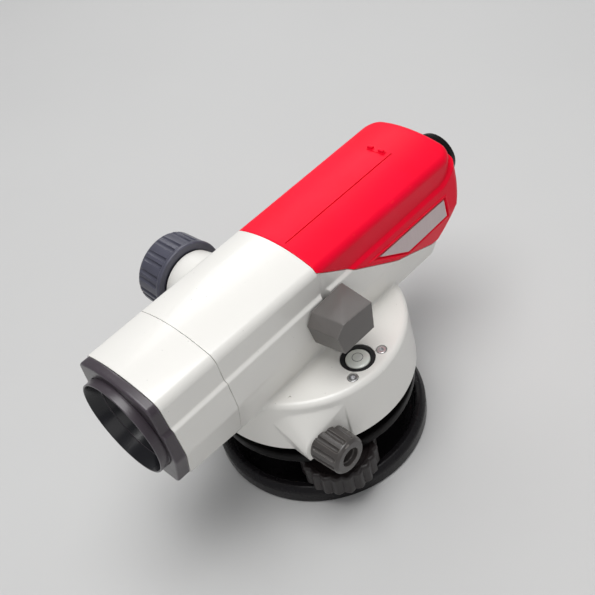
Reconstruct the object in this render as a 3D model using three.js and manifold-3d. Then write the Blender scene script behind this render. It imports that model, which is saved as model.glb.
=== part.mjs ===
// Automatic (self-levelling) surveyor's level, millimetres, +Z up.
// The vertical turning axis stands on the base plate's centre. The objective
// looks towards -Y, the eyepiece towards +Y, the circular vial is on +X and
// the focusing knob on -X. The whole group is moved by Y_CENTRE at the end so
// that the origin is under the middle of the instrument's outline.
import * as THREE from 'three';
import { mergeVertices } from 'three/addons/utils/BufferGeometryUtils.js';
import { ConvexGeometry } from 'three/addons/geometries/ConvexGeometry.js';
import Module from 'manifold-3d';

const wasm = await Module();
wasm.setup();

// ---------------------------------------------------------------- dimensions
const Y_CENTRE = 5.4;            // outline's middle along Y, from the turning axis
const GAP = 0.3;                 // running and seating gap between pieces

// base plate and foot screws
const BASE_R = 60, BASE_H = 11, BASE_RIM_IN = 54.3, BASE_FLOOR = 3.2;
const TRIPOD_HOLE_R = 8.0;       // 5/8 inch tripod screw
const FOOT_PCR = 47.4;           // foot screws' circle radius
const FOOT_ANGLES = { right: -33, left: 207, rear: 87 };
const FOOT_R = 20.8, FOOT_Z0 = 14.4, FOOT_Z1 = 28.35, FOOT_STUD_R = 3;

// tribrach, circle and vertical axis
const TRI_Z0 = 31.4, TRI_Z1 = 37.2, TRI_R = 56;
const SOCKET_RO = 14, SOCKET_RI = 9.5, SPINDLE_R = 9.2;
const CIRCLE_R = 53.4, CIRCLE_Z0 = 39.8, CIRCLE_Z1 = 45.3;
const WHEEL_R = 32.7, WHEEL_Z0 = 48.6, WHEEL_Z1 = 53.6, WHEEL_TEETH = 60;

// round housing
const HOUSE_Z0 = 46, HOUSE_Z1 = 78, HOUSE_R0 = 58.1, HOUSE_R1 = 56.1, WALL = 3;

// telescope body
const AXIS_Z = 106.2;            // line of sight
const FRONT_Y = -101.4, SEAM_Y = -68.9, RAKE = 0.05;
const TOP_Z = 131.4, CROWN = 5.0, RIDGE_X = 27.9, RIDGE_Z = 115.5;
const LOW_X = 29.1, LOW_Z = 97.4, BOTTOM_X = 22.5;
const REAR_Y = 104;

// tangent screw, focusing, eyepiece
const TAN_Y = -36.6, TAN_Z = 51.1, TAN_R = 10.5, TAN_X0 = 45.4, TAN_X1 = 62.6;
const FOC_Y = -28.9, FOC_Z = 109.5, FOC_R = 20.6, FOC_X0 = 42.2, FOC_X1 = 60;
const PINION_R = 2.5;
const VIAL_X = 41.8, VIAL_Y = -1.9, VIAL_R = 8.7;

const D = Math.PI / 180;
const FACETS = 0.62;              // share of each turned piece's nominal facets

// ------------------------------------------------------------------- helpers
// A closed three.js geometry as a solid, with its faces pointing out.
function solid(geometry) {
  const g0 = geometry.clone();
  g0.deleteAttribute('normal');
  g0.deleteAttribute('uv');
  const g = mergeVertices(g0, 1e-4);
  const p = g.attributes.position.array;
  const tri = [];
  let vol = 0;
  for (let i = 0; i < g.index.count; i += 3) {
    const [a, b, c] = [g.index.array[i], g.index.array[i + 1], g.index.array[i + 2]];
    if (a === b || b === c || a === c) continue;
    tri.push(a, b, c);
    const [ax, ay, az, bx, by, bz, cx, cy, cz] = [
      p[3 * a], p[3 * a + 1], p[3 * a + 2], p[3 * b], p[3 * b + 1], p[3 * b + 2],
      p[3 * c], p[3 * c + 1], p[3 * c + 2]];
    vol += ax * (by * cz - bz * cy) + ay * (bz * cx - bx * cz) + az * (bx * cy - by * cx);
  }
  if (vol < 0) for (let i = 0; i < tri.length; i += 3) [tri[i], tri[i + 1]] = [tri[i + 1], tri[i]];
  return new wasm.Manifold(new wasm.Mesh({
    numProp: 3, vertProperties: new Float32Array(p), triVerts: new Uint32Array(tri) }));
}

function geometryOf(manifold) {
  const m = manifold.getMesh();
  const g = new THREE.BufferGeometry();
  g.setAttribute('position', new THREE.BufferAttribute(new Float32Array(m.vertProperties), 3));
  g.setIndex(new THREE.BufferAttribute(new Uint32Array(m.triVerts), 1));
  g.computeVertexNormals();
  return g;
}

const AXES = {
  x: new THREE.Matrix4().makeRotationZ(-Math.PI / 2),
  y: new THREE.Matrix4(),
  z: new THREE.Matrix4().makeRotationX(Math.PI / 2),
};

// Turned piece: profile of [radius, height] pairs about an axis through `at`.
function lathe(axis, profile, segments = 32, at = [0, 0, 0]) {
  const n = Math.max(10, 2 * Math.round(segments * FACETS / 2));
  const g = new THREE.LatheGeometry(profile.map(([r, h]) => new THREE.Vector2(r, h)), n);
  g.applyMatrix4(AXES[axis]);
  g.translate(...at);
  return solid(g);
}
const rod = (axis, r, h0, h1, at = [0, 0, 0], seg = 24) =>
  lathe(axis, [[0, h0], [r, h0], [r, h1], [0, h1]], seg, at);
const ring = (axis, ro, ri, h0, h1, at = [0, 0, 0], seg = 32) =>
  lathe(axis, [[ri, h0], [ro, h0], [ro, h1], [ri, h1], [ri, h0]], seg, at);

const outline = (points) => new THREE.Shape(points.map(([a, b]) => new THREE.Vector2(a, b)));
const V = (x, y, z) => new THREE.Vector3(x, y, z);

// Extrusions of a [a, b] outline along each axis.
function prismX(points, x0, x1, steps = 1, move = null) {   // outline in (y, z)
  const g = new THREE.ExtrudeGeometry(outline(points), { depth: x1 - x0, steps, bevelEnabled: false });
  g.applyMatrix4(new THREE.Matrix4().makeBasis(V(0, 1, 0), V(0, 0, 1), V(1, 0, 0)));
  g.translate(x0, 0, 0);
  return solid(move ? displaced(g, move) : g);
}
function prismY(points, y0, y1, steps = 1, move = null) {   // outline in (x, z)
  const g = new THREE.ExtrudeGeometry(outline(points), { depth: y1 - y0, steps, bevelEnabled: false });
  g.applyMatrix4(new THREE.Matrix4().makeBasis(V(1, 0, 0), V(0, 0, 1), V(0, -1, 0)));
  g.translate(0, y1, 0);
  return solid(move ? displaced(g, move) : g);
}
function prismZ(points, z0, z1, bevel = 0, at = [0, 0, 0]) { // outline in (x, y)
  const g = new THREE.ExtrudeGeometry(outline(points), bevel
    ? { depth: z1 - z0 - 2 * bevel, bevelEnabled: true, bevelThickness: bevel, bevelSize: bevel, bevelOffset: -bevel, bevelSegments: 1 }
    : { depth: z1 - z0, bevelEnabled: false });
  g.translate(at[0], at[1], z0 + bevel + at[2]);
  return solid(g);
}
function displaced(g, move) {
  const p = g.attributes.position;
  for (let i = 0; i < p.count; i++) {
    const [x, y, z] = move(p.getX(i), p.getY(i), p.getZ(i));
    p.setXYZ(i, x, y, z);
  }
  return g;
}
function box(x0, x1, y0, y1, z0, z1) {
  const g = new THREE.BoxGeometry(x1 - x0, y1 - y0, z1 - z0);
  g.translate((x0 + x1) / 2, (y0 + y1) / 2, (z0 + z1) / 2);
  return solid(g);
}
function ball(r, at, seg = 16) {
  const g = new THREE.SphereGeometry(r, seg, Math.round(seg / 2));
  g.applyMatrix4(AXES.z);
  g.translate(...at);
  return solid(g);
}
// Round outline with n shallow finger hollows.
function scalloped(r, depth, n, perLobe, sharp = 1) {
  const out = [];
  for (let i = 0; i < n * perLobe; i++) {
    const a = (i / (n * perLobe)) * 2 * Math.PI;
    const w = Math.pow((1 - Math.cos(n * a)) / 2, sharp);
    const rr = r - depth * w;
    out.push([rr * Math.cos(a), rr * Math.sin(a)]);
  }
  return out;
}

// ----------------------------------------------------------------- materials
const mat = (color, roughness, metalness = 0) => new THREE.MeshStandardMaterial({ color, roughness, metalness });
const M = {
  base: mat(0x151314, 0.35, 0.2),
  footKnob: mat(0x1d1819, 0.45),
  steel: mat(0xa9abae, 0.3, 1),
  brass: mat(0xb08d4a, 0.35, 1),
  alloy: mat(0x5a5b5e, 0.45, 0.8),
  circle: mat(0x1b191a, 0.4),
  white: mat(0xefece6, 0.3),
  red: mat(0xe0112f, 0.35),
  dark: mat(0x3b3640, 0.5),
  black: mat(0x141315, 0.5),
  knob: mat(0x4c4b5c, 0.5),
  tangent: mat(0x514c49, 0.5),
  grey: mat(0x7d7874, 0.45),
  plate: mat(0xc9bfc0, 0.35, 0.3),
  glass: mat(0xc7d8dc, 0.05),
  vial: mat(0xc3d0c4, 0.05),
};

const root = new THREE.Group();
const bodies = {};
function body(name, position = [0, 0, 0]) {
  bodies[name] = new THREE.Group();
  bodies[name].position.set(...position);
  root.add(bodies[name]);
  return bodies[name];
}
function add(group, name, manifold, material) {
  const mesh = new THREE.Mesh(geometryOf(manifold), material);
  mesh.name = name;
  group.add(mesh);
  return mesh;
}

// ------------------------------------------------------------ base and feet
const base = body('base');
{
  let plate = lathe('z', [[0, 0], [BASE_R - 0.8, 0], [BASE_R, 0.8], [BASE_R, 8.4], [BASE_R - 0.8, 10.2],
    [BASE_R - 2.4, BASE_H], [BASE_RIM_IN, BASE_H], [BASE_RIM_IN - 1.2, BASE_FLOOR], [0, BASE_FLOOR]], 72);
  plate = plate.add(rod('z', 15, 1, 9, [0, 0, 0], 40));
  plate = plate.subtract(rod('z', TRIPOD_HOLE_R, -1, 12, [0, 0, 0], 40));
  add(base, 'base_plate', plate, M.base);
}

const spring = body('spring_plate');
{
  // three-armed plate that holds the ball feet down
  const star = [];
  for (let i = 0; i < 48; i++) {
    const a = i * 7.5 * D;
    const w = Math.max(0, Math.cos(3 * (a - 87 * D)));
    star.push([(27 + 24 * Math.pow(w, 1.6)) * Math.cos(a), (27 + 24 * Math.pow(w, 1.6)) * Math.sin(a)]);
  }
  let plate = prismZ(star, 10.6, 12.0);
  plate = plate.subtract(rod('z', 17.5, 5, 15, [0, 0, 0], 40));
  for (const a of Object.values(FOOT_ANGLES)) {
    plate = plate.subtract(rod('z', 4.4, 5, 15, [FOOT_PCR * Math.cos(a * D), FOOT_PCR * Math.sin(a * D), 0], 20));
    // open end of the arm, so that the foot clips in
    const slot = prismZ([[FOOT_PCR, -3.6], [60, -3.6], [60, 3.6], [FOOT_PCR, 3.6]], 5, 15);
    plate = plate.subtract(slot.rotate([0, 0, a]));
  }
  add(spring, 'spring_plate', plate, M.steel);
}

for (const [side, a] of Object.entries(FOOT_ANGLES)) {
  const g = body('foot_screw_' + side, [FOOT_PCR * Math.cos(a * D), FOOT_PCR * Math.sin(a * D), 0]);
  g.rotation.z = a * D;
  let knob = prismZ(scalloped(FOOT_R, 1.4, 20, 3), FOOT_Z0, FOOT_Z1, 1.6);
  knob = knob.subtract(rod('z', FOOT_STUD_R + GAP, 10, 32, [0, 0, 0], 16));
  add(g, 'foot_screw_knob_' + side, knob, M.footKnob);
  const stud = ball(3.9, [0, 0, BASE_FLOOR + GAP + 3.9], 16)
    .add(rod('z', FOOT_STUD_R, 7, 37.6, [0, 0, 0], 16));
  add(g, 'foot_screw_stud_' + side, stud, M.steel);
}

// ---------------------------------------------------------------- tribrach
const tribrach = body('tribrach');
{
  let plate = lathe('z', [[SOCKET_RO + GAP, TRI_Z0 - 3], [20, TRI_Z0 - 3], [23, TRI_Z0], [TRI_R - 1, TRI_Z0], [TRI_R, TRI_Z0 + 1],
    [TRI_R, TRI_Z1 - 1], [TRI_R - 1, TRI_Z1], [SOCKET_RO + GAP, TRI_Z1], [SOCKET_RO + GAP, TRI_Z0 - 3]], 60);
  for (const a of Object.values(FOOT_ANGLES)) {
    const at = [FOOT_PCR * Math.cos(a * D), FOOT_PCR * Math.sin(a * D), 0];
    plate = plate.subtract(rod('z', 6.3, 30, 40, at, 20));
  }
  add(tribrach, 'tribrach_plate', plate, M.base);
  for (const [side, a] of Object.entries(FOOT_ANGLES)) {
    const at = [FOOT_PCR * Math.cos(a * D), FOOT_PCR * Math.sin(a * D), 0];
    add(tribrach, 'foot_screw_bush_' + side, ring('z', 6.0, FOOT_STUD_R + 0.55, TRI_Z0 + 0.3, TRI_Z1 + 0.9, at, 20), M.brass);
  }
  add(tribrach, 'axis_socket', lathe('z', [[SOCKET_RI, 27], [SOCKET_RO, 27], [SOCKET_RO, 54.4], [SOCKET_RI, 54.4], [SOCKET_RI, 27]], 32), M.brass);
}

const circle = body('horizontal_circle');
{
  const profile = [[SOCKET_RO + GAP, CIRCLE_Z0 + 1.5], [44, CIRCLE_Z0 + 1.5], [45, CIRCLE_Z0], [CIRCLE_R - 0.6, CIRCLE_Z0], [CIRCLE_R, CIRCLE_Z0 + 0.6],
    [CIRCLE_R, CIRCLE_Z1 - 0.8], [CIRCLE_R - 0.8, CIRCLE_Z1], [SOCKET_RO + GAP, CIRCLE_Z1], [SOCKET_RO + GAP, CIRCLE_Z0 + 1.5]];
  add(circle, 'horizontal_circle', lathe('z', profile, 72), M.circle);
}

const wheel = body('worm_wheel');
{
  const teeth = scalloped(WHEEL_R, 0.7, WHEEL_TEETH, 2);
  const gear = prismZ(teeth, WHEEL_Z0, WHEEL_Z1).subtract(rod('z', SOCKET_RO + GAP, 40, 60, [0, 0, 0], 32));
  add(wheel, 'worm_wheel', gear, M.brass);
}

// ------------------------------------------------------------ telescope form
// Half outline of the body's cross-section, mirrored; z of the belly is moved
// along the body by shapeBody.
const BELLY0 = 72;
function section(inset) {
  const half = inset
    ? [[0, TOP_Z + CROWN - 2.9], [12, TOP_Z + CROWN - 4.2], [24.0, TOP_Z - 2.6], [25.2, RIDGE_Z], [26.2, LOW_Z], [19.6, 81]]
    : [[0, TOP_Z + CROWN], [8, TOP_Z + CROWN - 0.5], [16, TOP_Z + CROWN - 1.9], [23.2, TOP_Z + 1.4], [26.2, TOP_Z - 0.4], [27.2, TOP_Z - 2.6],
      [RIDGE_X, RIDGE_Z], [LOW_X, LOW_Z], [BOTTOM_X + 1.2, BELLY0 + 2.2], [BOTTOM_X - 2, BELLY0]];
  return half.concat(half.slice(inset ? 0 : 1).reverse().map(([x, z]) => [-x, z])).filter(([x, z], i, all) =>
    !all.slice(0, i).some(([x2, z2]) => Math.abs(x - x2) < 1e-6 && Math.abs(z - z2) < 1e-6));
}
const belly = (y) => (y < -52 ? 76.2 - 0.0749 * (y - FRONT_Y) : 72.5 - 0.0179 * (y + 52));
function shapeBody(x, y, z) {
  const t = Math.min(1, Math.max(0, (y - FRONT_Y) / 205));
  const up = Math.min(1, Math.max(0, (z - RIDGE_Z) / (TOP_Z - RIDGE_Z)));
  const nx = x * (1 + ((25.6 + 2.8 * t) / 27.2 - 1) * up);
  const nz = z < LOW_Z ? LOW_Z - (LOW_Z - z) * (LOW_Z - belly(y)) / (LOW_Z - BELLY0) : z;
  return [nx, y, nz];
}
const raked = (x, y, z) => { const q = shapeBody(x, y, z); return [q[0], q[1] + RAKE * (TOP_Z - q[2]), q[2]]; };
const rear = [[99.5, 141], [101.6, 133], [103.4, 120], [REAR_Y, 108], [102.2, 97], [96.5, 87], [90, 80.6], [88.5, 76], [88.5, 60], [-60, 60], [-60, 141]];
function rearCorner(inset) {
  return (x, y, z) => {
    const w = Math.min(1, Math.max(0, (y - 60) / 28));
    const r = z > RIDGE_Z ? 10 : 7;
    const s = Math.min(1, Math.max(0, (Math.abs(x) - (29.2 - r)) / r));
    return [x, y - w * (inset + r * (1 - Math.sqrt(1 - s * s))), z];
  };
}
const rearSolid = prismX(rear, -29.2, 29.2, 16, rearCorner(0));
const fore = prismY(section(false), SEAM_Y, -52, 1, (x, y, z) => (y < -60 ? raked(x, y, z) : shapeBody(x, y, z)));
const aft = prismY(section(false), -52, 110, 2, shapeBody).intersect(rearSolid);
const bodyForm = fore.add(aft);

// What the red cover takes from the body: everything above this line.
const COVER_LINE = [[-3.6, 129.2], [20, 113.5], [50, 96], [57.5, 92.7], [80.5, 80.8], [95, 79.6], [120, 79.6]];
const coverCut = (d) => prismX([...COVER_LINE.map(([y, z]) => [y + d * 0.5, z + d]), [120, 150], [-3.6 + d, 150]], -40, 40);
const cavity = prismY(section(true), -90, 110, 1, (x, y, z) => [x, y, z])
  .intersect(prismX(rear, -29.2, 29.2, 12, rearCorner(2.8)).add(box(-30, 30, -95, -40, 60, 150)));

const alidade = body('alidade');
const pocketR = prismY([[44.9, 38], [70, 38], [70, 73], [51.6, 71.6], [44.9, 64]], -60, -24.2);
const VIAL_SCREWS = [['rear', 60], ['inner', 180], ['front', 300]].map(([name, a]) =>
  [name, [VIAL_X + 12.6 * Math.cos(a * D), VIAL_Y + 12.6 * Math.sin(a * D), 0]]);
const knobPocket = (s) => (s > 0 ? pocketR : pocketR.mirror([1, 0, 0]));
{
  // round housing and lower half of the telescope body
  let h = lathe('z', [[0, HOUSE_Z0], [HOUSE_R0, HOUSE_Z0], [HOUSE_R1 + 0.2, HOUSE_Z1 - 3.2], [HOUSE_R1 - 0.7, HOUSE_Z1 - 1.2],
    [HOUSE_R1 - 2.8, HOUSE_Z1], [0, HOUSE_Z1]], 72);
  // bosses round the tangent screw, on both sides, and round the focusing shaft
  const bossPoints = [V(26.2, -50.3, 64.6), V(32.2, -46.3, 70.9), V(38.1, -41.4, 72), V(44.4, -34.3, 71.8), V(50.8, -24.0, 71.2),
    V(30.2, -48.7, 54.5), V(33.6, -46.7, 46), V(50.8, -24.0, 46), V(20, -48, 60), V(20, -40, 71), V(20, -30, 71), V(20, -30, 46), V(20, -46, 46)];
  for (let i = 0; i < 20; i++) bossPoints.push(V(44.9, TAN_Y + 12.2 * Math.cos(i * 18 * D), TAN_Z + 12.2 * Math.sin(i * 18 * D)));
  const bossR = solid(new ConvexGeometry(bossPoints)).intersect(box(15, 60, -70, -24, HOUSE_Z0, HOUSE_Z1 - 3));
  h = h.add(bossR).add(bossR.mirror([1, 0, 0]));
  h = h.add(bodyForm);
  h = h.add(lathe('x', [[0, -41.6], [16.6, -41.6], [17.4, -40.6], [19.4, -25], [0, -25]], 36, [0, FOC_Y, FOC_Z]));
  h = h.subtract(lathe('z', [[0, 40], [HOUSE_R0 - WALL, 40], [HOUSE_R0 - WALL, HOUSE_Z0], [HOUSE_R1 - WALL, HOUSE_Z1 - 3.6], [0, HOUSE_Z1 - 3.6]], 60));
  h = h.add(lathe('z', [[0, 60.3], [16, 60.3], [18, HOUSE_Z1 - 3], [0, HOUSE_Z1 - 3]], 32));
  h = h.subtract(cavity);
  h = h.subtract(prismX([[60, 73.2], [85.4, 73.2], [85.4, 83], [60, 83]], -18, 18));
  h = h.subtract(coverCut(-0.15));
  // bores for the tangent bushes and the focusing bush
  h = h.subtract(rod('x', 4.6, -70, 70, [0, TAN_Y, TAN_Z], 24));
  h = h.subtract(rod('x', 6.3, -60, -20, [0, FOC_Y, FOC_Z], 24));
  // well for the circular vial and countersunk holes for its screws
  h = h.subtract(rod('z', VIAL_R + 0.3, HOUSE_Z1 - 8, HOUSE_Z1 + 2, [VIAL_X, VIAL_Y, 0], 44));
  for (const [, at] of VIAL_SCREWS) {
    h = h.subtract(rod('z', 2.9, HOUSE_Z1 - 2.2, HOUSE_Z1 + 2, at, 20)).subtract(rod('z', 1.8, HOUSE_Z1 - 8, HOUSE_Z1 + 2, at, 16));
  }
  // pockets in the wall that the tangent knobs turn in
  h = h.subtract(knobPocket(1)).subtract(knobPocket(-1));
  add(alidade, 'main_housing', h, M.white);
}
{
  // underside cover of the round housing
  const p = ring('z', HOUSE_R0 - WALL - 0.4, SOCKET_RO + 1.5, 45.6, 46.6, [0, 0, 0], 60).subtract(knobPocket(1)).subtract(knobPocket(-1));
  add(alidade, 'housing_bottom_plate', p, M.black);
  // turning axis, screwed up into the housing
  add(alidade, 'spindle', lathe('z', [[0, 29], [SPINDLE_R - 1, 29], [SPINDLE_R, 30], [SPINDLE_R, 55], [15, 55], [15, 60], [0, 60]], 32), M.steel);
}

// ------------------------------------------------------------- objective end
{
  let shell = prismY(section(false), FRONT_Y, SEAM_Y - GAP, 1, raked);
  shell = shell.subtract(rod('y', 23.2, -120, -60, [0, 0, AXIS_Z], 40));
  add(alidade, 'objective_housing', shell, M.white);

  // dark bezel that follows the body's outline, raked like it
  let bezel = prismY(section(false), FRONT_Y - 5.6, FRONT_Y - GAP, 1, (x, y, z) => {
    const q = raked(x, y, z);
    return [q[0] * 0.965, q[1] - RAKE * (TOP_Z - q[2]) * (y < FRONT_Y - 3 ? 1 : 0), AXIS_Z + (q[2] - AXIS_Z) * 0.965];
  });
  bezel = bezel.subtract(rod('y', 22.6, -125, -90, [0, 0, AXIS_Z], 48));
  add(alidade, 'objective_bezel', bezel, M.dark);

  // round hood, seated in a step in front of the bezel
  const hood = lathe('y', [[22.4, -107.3], [25.8, -107.3], [25.8, -110.4], [25.2, -111], [24.2, -111], [22.4, -108.4], [22.4, -107.3]], 48, [0, 0, AXIS_Z]);
  add(alidade, 'lens_hood', hood, M.dark);

  // cell tube that holds the objective lens
  const cell = lathe('y', [[18.2, -106.8], [22.2, -106.8], [22.2, -76], [19.2, -76], [19.2, -97.6], [18.2, -97.6], [18.2, -106.8]], 48, [0, 0, AXIS_Z]);
  add(alidade, 'objective_cell', cell, M.black);
  const lens = lathe('y', [[0, -97.2], [10, -97.2], [18.9, -95.4], [18.9, -90.6], [0, -89.4]], 40, [0, 0, AXIS_Z]);
  add(alidade, 'objective_lens', lens, M.glass);
}

// ------------------------------------------------------------------ covers
{
  let cover = bodyForm.intersect(coverCut(0.15));
  cover = cover.subtract(cavity);
  cover = cover.subtract(rod('y', 13.3, 60, 115, [0, 0, AXIS_Z], 40));
  // shallow recess for the plate on the right flank
  cover = cover.subtract(prismX([[33.6, 110], [91, 109], [92.6, 94.4], [56.6, 94.2]], 27.7, 32));
  // dovetail seam along the top
  cover = cover.subtract(prismY([[5.4, 135.3], [6.2, 135.3], [6.2, 138], [5.4, 138]], -1.5, 80));
  add(alidade, 'top_cover', cover, M.red);
  const plate = prismX([[36.4, 108.8], [89, 107.8], [90.3, 95.8], [57.9, 95.6]], 28.0, 28.75);
  add(alidade, 'side_plate', plate, M.plate);

  // open sight: a bar with two posts
  let sight = box(-8.5, 2.5, 74.6, 78.4, 136.9, 137.6);
  sight = sight.add(box(-8.1, -4.6, 75, 78, 137.3, 139)).add(box(-1.4, 2.1, 75, 78, 137.3, 139));
  add(alidade, 'open_sight', sight.translate([0, 0, -0.55]).subtract(bodyForm.translate([0, 0, 0.2])), M.black);
}

// -------------------------------------------------------- vial and its prism
{
  const profile = [[7.6, 113.8], [-12.1, 113.8], [-17.4, 108.6], [-13.3, 95.8], [7.6, 95.8]];
  let hood = prismX(profile, 29.5, 48.3);
  hood = hood.subtract(prismX([[12, 111.6], [-11.2, 111.6], [-14.8, 108], [-11.2, 90], [5.4, 90], [5.4, 97.8], [12, 97.8]], 31.7, 46.1));
  add(alidade, 'vial_prism_housing', hood, M.grey);
  const prism = prismX([[4.8, 111], [-10.6, 111], [-13.6, 107.8], [-10.2, 97.6], [2.8, 98.4]], 32.1, 45.7);
  add(alidade, 'vial_prism', prism, M.glass);

  // the vial sits in a well in the head's top, on a holder hung below it
  const ears = [];
  for (let i = 0; i < 36; i++) {
    const a = i * 10 * D;
    const w = Math.max(0, Math.cos(3 * (a - 60 * D)));
    ears.push([(8.2 + 7.2 * Math.pow(w, 1.4)) * Math.cos(a), (8.2 + 7.2 * Math.pow(w, 1.4)) * Math.sin(a)]);
  }
  let holder = prismZ(ears, HOUSE_Z1 - 6.4, HOUSE_Z1 - 4.2, 0, [VIAL_X, VIAL_Y, 0]);
  holder = holder.add(rod('z', VIAL_R, HOUSE_Z1 - 8.4, HOUSE_Z1 - 0.25, [VIAL_X, VIAL_Y, 0], 44));
  holder = holder.subtract(rod('z', 6.6, HOUSE_Z1 - 6.8, HOUSE_Z1 + 9, [VIAL_X, VIAL_Y, 0], 32));
  for (const [, at] of VIAL_SCREWS) holder = holder.subtract(rod('z', 1.8, HOUSE_Z1 - 9, HOUSE_Z1 + 4, at, 16));
  add(alidade, 'vial_holder', holder, M.black);
  add(alidade, 'circular_vial', lathe('z', [[0, HOUSE_Z1 - 6.5], [6.3, HOUSE_Z1 - 6.5], [6.3, HOUSE_Z1 - 0.9], [4.6, HOUSE_Z1 + 0.1], [0, HOUSE_Z1 + 0.6]], 28, [VIAL_X, VIAL_Y, 0]), M.vial);
  for (const [name, at] of VIAL_SCREWS) {
    let s = lathe('z', [[0, HOUSE_Z1 - 7.4], [1.4, HOUSE_Z1 - 7.4], [1.4, HOUSE_Z1 - 1.9], [2.4, HOUSE_Z1 - 1.9], [2.4, HOUSE_Z1 - 0.5], [2.0, HOUSE_Z1 - 0.1], [0, HOUSE_Z1 - 0.1]], 20, at);
    s = s.subtract(box(at[0] - 4, at[0] + 4, at[1] - 0.35, at[1] + 0.35, HOUSE_Z1 - 0.9, HOUSE_Z1 + 6));
    add(alidade, 'vial_screw_' + name, s, M.steel);
  }
}

// ------------------------------------------------- tangent screw, both knobs
{
  for (const [side, s] of [['right', 1], ['left', -1]]) {
    const b = ring('x', 4.3, 2.8, Math.min(s * 36, s * 44.6), Math.max(s * 36, s * 44.6), [0, TAN_Y, TAN_Z], 20);
    add(alidade, 'tangent_bush_' + side, b, M.brass);
  }
  const tangent = body('tangent_screw', [0, TAN_Y, TAN_Z]);
  const worm = [[0, -56.5], [2.5, -56.5], [2.5, -9]];
  for (let i = -4; i < 4; i++) worm.push([2.7, i * 2 + 0.05], [3.4, i * 2 + 1]);
  worm.push([2.7, 8]);
  worm.push([2.5, 9], [2.5, 56.5], [0, 56.5]);
  add(tangent, 'tangent_worm_shaft', lathe('x', worm, 16), M.steel);
  for (const [side, s] of [['right', 1], ['left', -1]]) {
    const g = new THREE.ExtrudeGeometry(outline(scalloped(TAN_R, 0.8, 10, 4, 3)), {
      depth: TAN_X1 - TAN_X0 - 1.4, bevelEnabled: true, bevelThickness: 0.7, bevelSize: 0.9, bevelOffset: -0.9, bevelSegments: 1 });
    g.applyMatrix4(new THREE.Matrix4().makeBasis(V(0, 1, 0), V(0, 0, 1), V(1, 0, 0)));
    g.translate(TAN_X0 + 0.7, 0, 0);
    let k = solid(g);
    k = k.subtract(rod('x', 2.8, 40, 57, [0, 0, 0], 20));
    k = k.subtract(lathe('x', [[0, 58.4], [4.4, 58.4], [4.4, 60.6], [6.6, 60.6], [6.6, 70], [0, 70]], 24));
    if (s < 0) k = k.mirror([1, 0, 0]);
    add(tangent, 'tangent_knob_' + side, k, M.tangent);
  }
}

// ---------------------------------------------------------------- focusing
{
  add(alidade, 'focus_bush', lathe('x', [[3.3, -41.4], [6, -41.4], [6, -25.6], [3.3, -25.6], [3.3, -41.4]], 24, [0, FOC_Y, FOC_Z]), M.brass);
  const drive = body('focus_drive', [0, FOC_Y, FOC_Z]);
  const shape = outline(scalloped(FOC_R, 1.0, 12, 4, 4));
  const g = new THREE.ExtrudeGeometry(shape, { depth: FOC_X1 - FOC_X0 - 4.4, bevelEnabled: true, bevelThickness: 0.8, bevelSize: 1.0, bevelOffset: -1.0, bevelSegments: 1 });
  g.applyMatrix4(new THREE.Matrix4().makeBasis(V(0, 1, 0), V(0, 0, 1), V(1, 0, 0)));
  g.translate(-FOC_X1 + 0.8, 0, 0);
  let knob = solid(g).add(rod('x', FOC_R - 1.2, -FOC_X0 - 3.2, -FOC_X0, [0, 0, 0], 40));
  // the ribbed part tapers outwards from the smooth ring next to the body
  knob = knob.intersect(lathe('x', [[0, -61], [16.4, -61], [18.6, -58.6], [19.9, -45.6], [FOC_R, -45.2], [FOC_R + 0.5, -42], [0, -42]], 48));
  knob = knob.subtract(rod('x', 3.3, -56, -30, [0, 0, 0], 20));
  knob = knob.subtract(lathe('x', [[0, -61], [14, -61], [12.5, -58.6], [0, -58.6]], 32));
  add(drive, 'focus_knob', knob, M.knob);
  add(drive, 'focus_shaft', lathe('x', [[0, -55.6], [3, -55.6], [3, -25.2], [1.2, -25.2], [1.2, -17.6], [0, -17.6]], 16), M.steel);
  const teeth = scalloped(PINION_R, 0.45, 12, 2);
  let pinion = prismX(teeth, -24.6, -18.4).subtract(rod('x', 1.5, -30, -10, [0, 0, 0], 12));
  add(drive, 'focus_pinion', pinion, M.brass);

  const carriage = body('focus_carriage');
  add(carriage, 'focus_lens_cell', ring('y', 15, 12.4, FOC_Y - 12, FOC_Y + 14, [0, 0, AXIS_Z], 32), M.black);
  add(carriage, 'focus_lens', lathe('y', [[0, FOC_Y - 2.4], [6, FOC_Y - 3], [12.1, FOC_Y - 4.6], [12.1, FOC_Y + 3.6], [6, FOC_Y + 2], [0, FOC_Y + 1.4]], 28, [0, 0, AXIS_Z]), M.glass);
  const rack = [];
  const RACK_Z = FOC_Z - PINION_R - 0.25;
  const y0 = FOC_Y - 21, y1 = FOC_Y + 21;
  rack.push([y0, RACK_Z - 3.4], [y1, RACK_Z - 3.4]);
  for (let y = y1; y > y0 + 0.1; y -= 1.4) rack.push([y, RACK_Z - 0.45], [y - 0.7, RACK_Z]);
  rack.push([y0, RACK_Z - 0.45]);
  add(carriage, 'focus_rack', prismX(rack, -23.6, -15.6), M.brass);
}

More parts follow.
